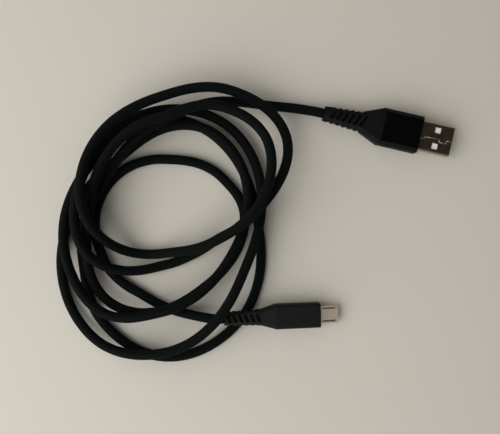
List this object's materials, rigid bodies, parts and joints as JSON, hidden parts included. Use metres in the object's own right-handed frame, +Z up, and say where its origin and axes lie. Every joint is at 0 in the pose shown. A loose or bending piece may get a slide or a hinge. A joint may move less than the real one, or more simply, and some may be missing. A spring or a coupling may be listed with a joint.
{
  "type": "charging cable",
  "caption": "Black braided charging cable lying in a loose coil, with a USB-A plug and a micro-B plug, slotted strain reliefs and metal shells.",
  "frame": {"origin": "on the table, midway between the outer sides of the two plugs", "axes": "+Z up from the table; +X towards the plugs' tips, away from the coil; +Y towards the USB-A plug"},
  "size_m": [0.1637, 0.1129, 0.0189],
  "materials": {
    "black_braid": "braided nylon",
    "black_moulding": "fine matte moulding",
    "gloss_panel": "polished black",
    "nickel_shell": "nickel plated",
    "white_plastic": "satin",
    "black_plastic": "satin",
    "gold_contact": "gold plated",
    "solder": "soldered",
    "red_insulation": "smooth",
    "white_insulation": "smooth",
    "green_insulation": "smooth",
    "black_insulation": "smooth",
    "milky_mould": "milky polyethylene"
  },
  "bodies": {
    "root": {"cord_lead_usb_a": "black_braid", "cord_coil": "black_braid", "cord_lead_micro_b": "black_braid", "usb_a_shell": "nickel_shell", "usb_a_tongue": "white_plastic", "usb_a_contacts": "gold_contact", "usb_a_solder": "solder", "usb_a_wire_red": "red_insulation", "usb_a_wire_white": "white_insulation", "usb_a_wire_green": "green_insulation", "usb_a_wire_black": "black_insulation", "usb_a_crimp": "nickel_shell", "usb_a_inner_mould": "milky_mould", "usb_a_housing": "black_moulding", "usb_a_face_panel": "gloss_panel", "usb_a_strain_relief": "black_moulding", "micro_b_shell": "nickel_shell", "micro_b_insulator": "black_plastic", "micro_b_contact_tails": "gold_contact", "micro_b_solder": "solder", "micro_b_wire_red": "red_insulation", "micro_b_wire_white": "white_insulation", "micro_b_wire_green": "green_insulation", "micro_b_wire_black": "black_insulation", "micro_b_crimp": "nickel_shell", "micro_b_inner_mould": "milky_mould", "micro_b_housing": "black_moulding", "micro_b_strain_relief": "black_moulding"},
    "latch_left": {"micro_b_latch_left": "nickel_shell"},
    "latch_right": {"micro_b_latch_right": "nickel_shell"},
    "contact_springs": {"micro_b_contact_springs": "gold_contact"}
  },
  "joints": [
    {"name": "latch_left", "type": "hinge", "parent": "root", "child": "latch_left", "pos_m": [-0.00738, -0.03766, 0.00352], "axis": [-0.0262, 0.9997, 0], "range_deg": [0, 4.5], "stiffness_Nm_per_rad": 0.1},
    {"name": "latch_right", "type": "hinge", "parent": "root", "child": "latch_right", "pos_m": [-0.00725, -0.04286, 0.00352], "axis": [-0.0262, 0.9997, 0], "range_deg": [0, 4.5], "stiffness_Nm_per_rad": 0.1},
    {"name": "contact_springs", "type": "hinge", "parent": "root", "child": "contact_springs", "pos_m": [-0.00721, -0.04026, 0.00354], "axis": [-0.0262, 0.9997, 0], "range_deg": [0, 1.5], "stiffness_Nm_per_rad": 0.1}
  ]
}
